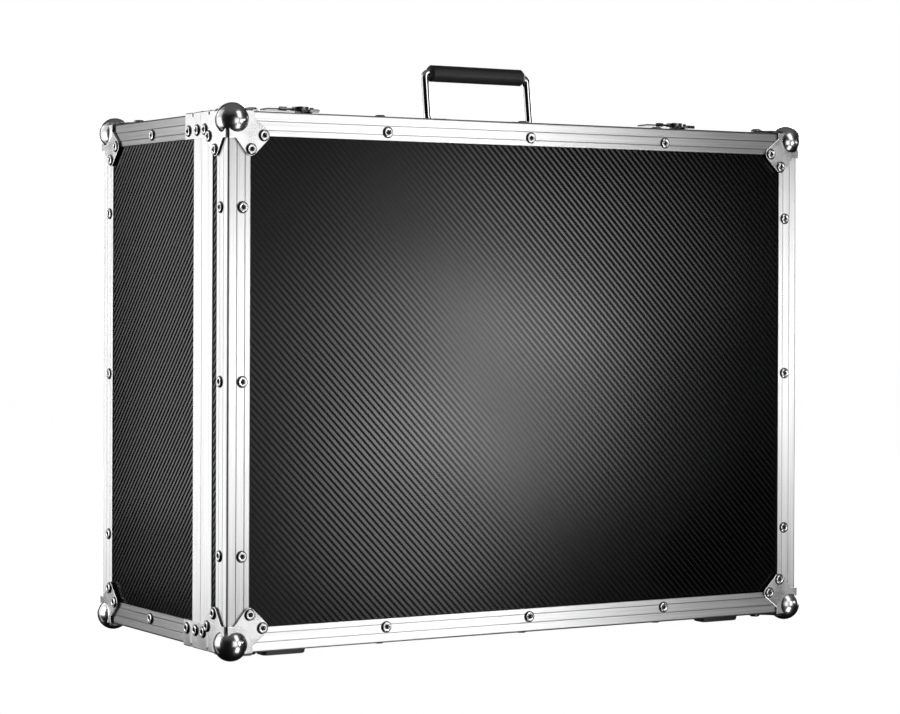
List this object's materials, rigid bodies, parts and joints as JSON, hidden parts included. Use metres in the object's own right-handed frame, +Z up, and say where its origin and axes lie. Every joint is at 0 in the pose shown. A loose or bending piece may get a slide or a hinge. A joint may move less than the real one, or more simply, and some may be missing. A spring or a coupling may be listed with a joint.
{
  "type": "flight case",
  "caption": "Small hard flight case in dark laminate with aluminium edge angles, ball corners, a swing lid, twist latches and a wire bail handle.",
  "frame": {"origin": "on the surface that the feet stand on, in the middle of the case's outline", "axes": "+X along the case, to the right as the lid faces the viewer; +Y from the lid to the back; +Z up, to the handle"},
  "size_m": [0.6476, 0.2896, 0.5471],
  "materials": {
    "laminate": "plywood faced with a dark twill-pattern laminate, satin",
    "aluminium": "satin anodised",
    "steel": "plated",
    "chrome": "bright plated",
    "rubber": "matte",
    "foam": "closed-cell foam"
  },
  "bodies": {
    "body": {"back_angle_bottom": "aluminium", "back_angle_left": "aluminium", "back_angle_right": "aluminium", "back_angle_top": "aluminium", "body_back_panel": "laminate", "body_ball_corner_bottom_left": "steel", "body_ball_corner_bottom_right": "steel", "body_ball_corner_top_left": "steel", "body_ball_corner_top_right": "steel", "body_bottom_panel": "laminate", "body_brace_bottom_left": "steel", "body_brace_bottom_right": "steel", "body_brace_top_left": "steel", "body_brace_top_right": "steel", "body_closing_frame": "aluminium", "body_foam_lining": "foam", "body_left_panel": "laminate", "body_right_panel": "laminate", "body_top_panel": "laminate", "edge_angle_bottom_left": "aluminium", "edge_angle_bottom_right": "aluminium", "edge_angle_top_left": "aluminium", "edge_angle_top_right": "aluminium", "foot_back_left": "rubber", "foot_back_right": "rubber", "handle_base": "steel", "hinge_body_leaf_left": "steel", "hinge_body_leaf_right": "steel", "latch_base_left": "steel", "latch_base_right": "steel"},
    "lid": {"foot_front_left": "rubber", "foot_front_right": "rubber", "hinge_lid_leaf_left": "steel", "hinge_lid_leaf_right": "steel", "latch_keeper_left": "steel", "latch_keeper_right": "steel", "lid_angle_bottom": "aluminium", "lid_angle_left": "aluminium", "lid_angle_right": "aluminium", "lid_angle_top": "aluminium", "lid_ball_corner_bottom_left": "steel", "lid_ball_corner_bottom_right": "steel", "lid_ball_corner_top_left": "steel", "lid_ball_corner_top_right": "steel", "lid_brace_bottom_left": "steel", "lid_brace_bottom_right": "steel", "lid_brace_top_left": "steel", "lid_brace_top_right": "steel", "lid_closing_frame": "aluminium", "lid_foam_pad": "foam", "lid_panel": "laminate", "lid_wall_frame": "laminate"},
    "handle": {"handle_bail": "chrome", "handle_grip": "rubber"},
    "latch_left_rotor": {"latch_rotor_left": "steel"},
    "latch_left_wing": {"latch_wing_left": "steel"},
    "latch_left_hook": {"latch_hook_left": "steel"},
    "latch_right_rotor": {"latch_rotor_right": "steel"},
    "latch_right_wing": {"latch_wing_right": "steel"},
    "latch_right_hook": {"latch_hook_right": "steel"}
  },
  "joints": [
    {"name": "lid_hinge", "type": "hinge", "parent": "body", "child": "lid", "pos_m": [0, -0.0836, 0.0045], "axis": [1, 0, 0], "range_deg": [0, 110]},
    {"name": "handle_fold", "type": "hinge", "parent": "body", "child": "handle", "pos_m": [0, -0.043, 0.4904], "axis": [-1, 0, 0], "range_deg": [-10, 76]},
    {"name": "latch_left_turn", "type": "hinge", "parent": "body", "child": "latch_left_rotor", "pos_m": [-0.208, -0.067, 0.488], "axis": [0, 0, 1], "range_deg": [0, 180]},
    {"name": "latch_left_wing_fold", "type": "hinge", "parent": "latch_left_rotor", "child": "latch_left_wing", "pos_m": [-0.208, -0.067, 0.4965], "axis": [1, 0, 0], "range_deg": [0, 90]},
    {"name": "latch_left_hook_tilt", "type": "hinge", "parent": "body", "child": "latch_left_hook", "pos_m": [-0.208, -0.0747, 0.4924], "axis": [1, 0, 0], "range_deg": [0, 5.5]},
    {"name": "latch_right_turn", "type": "hinge", "parent": "body", "child": "latch_right_rotor", "pos_m": [0.216, -0.067, 0.488], "axis": [0, 0, 1], "range_deg": [0, 180]},
    {"name": "latch_right_wing_fold", "type": "hinge", "parent": "latch_right_rotor", "child": "latch_right_wing", "pos_m": [0.216, -0.067, 0.4965], "axis": [1, 0, 0], "range_deg": [0, 90]},
    {"name": "latch_right_hook_tilt", "type": "hinge", "parent": "body", "child": "latch_right_hook", "pos_m": [0.216, -0.0747, 0.4924], "axis": [1, 0, 0], "range_deg": [0, 5.5]}
  ],
  "couplings": [
    {"joint": "latch_left_hook_tilt", "follows": "latch_left_turn", "ratio": 0.030556},
    {"joint": "latch_right_hook_tilt", "follows": "latch_right_turn", "ratio": 0.030556}
  ]
}
